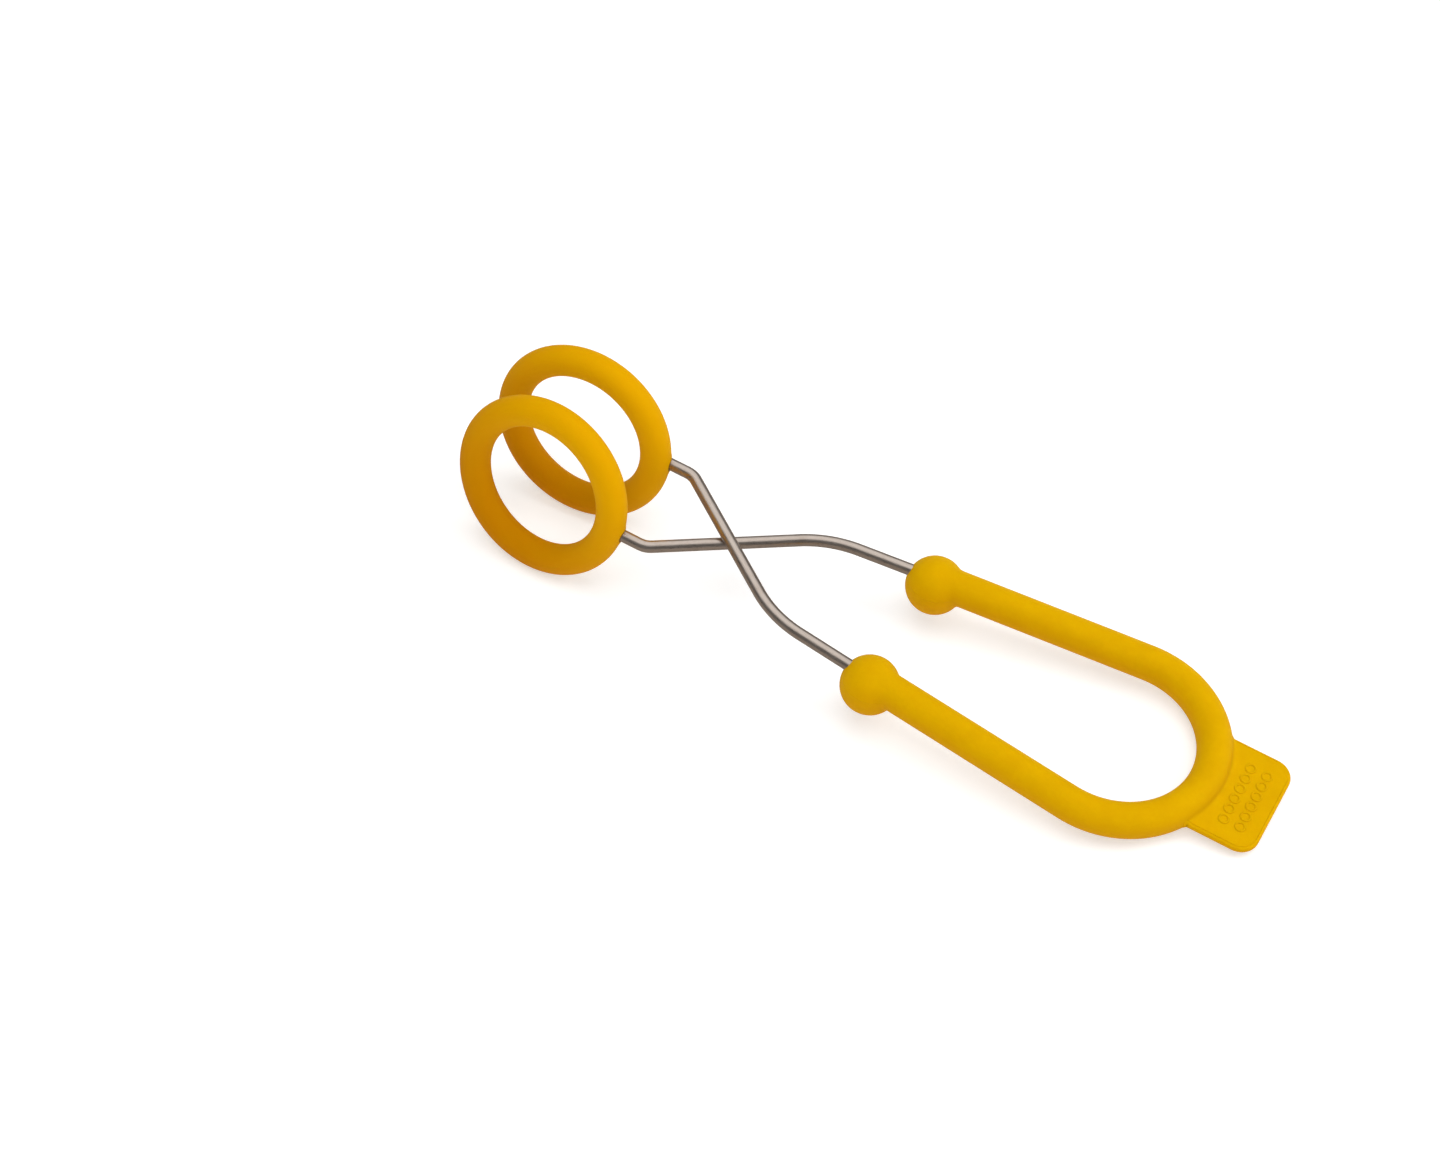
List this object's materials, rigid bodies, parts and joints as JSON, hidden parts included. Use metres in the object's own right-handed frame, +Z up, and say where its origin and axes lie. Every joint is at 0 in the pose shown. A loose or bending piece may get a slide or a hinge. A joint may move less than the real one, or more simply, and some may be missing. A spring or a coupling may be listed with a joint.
{
  "type": "egg tongs",
  "caption": "Reverse-action spring tongs with silicone-covered rings that hold a boiled egg; squeezing the looped handle opens the rings.",
  "frame": {"origin": "on the resting surface, midway along the length, on the centre line between the two arms", "axes": "+X along the handle from the rings towards the end tab, +Z up as it rests, +Y across the handle towards the side the rings' tops lean to"},
  "size_m": [0.2114, 0.0538, 0.0461],
  "materials": {
    "silicone": "matte moulded silicone, warm yellow",
    "spring_steel": "satin drawn stainless wire"
  },
  "bodies": {
    "handle": {"handle_bow": "silicone", "bow_spring": "spring_steel"},
    "under_arm": {"under_wire": "spring_steel", "under_ring": "silicone", "under_grip": "silicone"},
    "over_arm": {"over_wire": "spring_steel", "over_ring": "silicone", "over_grip": "silicone"}
  },
  "joints": [
    {"name": "under_flex", "type": "hinge", "parent": "handle", "child": "under_arm", "pos_m": [0.06387, 0.02257, 0.00699], "axis": [0.1093, 0, 0.994], "range_deg": [-1.4, 8.8], "stiffness_Nm_per_rad": 6},
    {"name": "over_flex", "type": "hinge", "parent": "handle", "child": "over_arm", "pos_m": [0.06387, -0.02257, 0.00699], "axis": [-0.1093, 0, -0.994], "range_deg": [-1.4, 8.8], "stiffness_Nm_per_rad": 6}
  ]
}
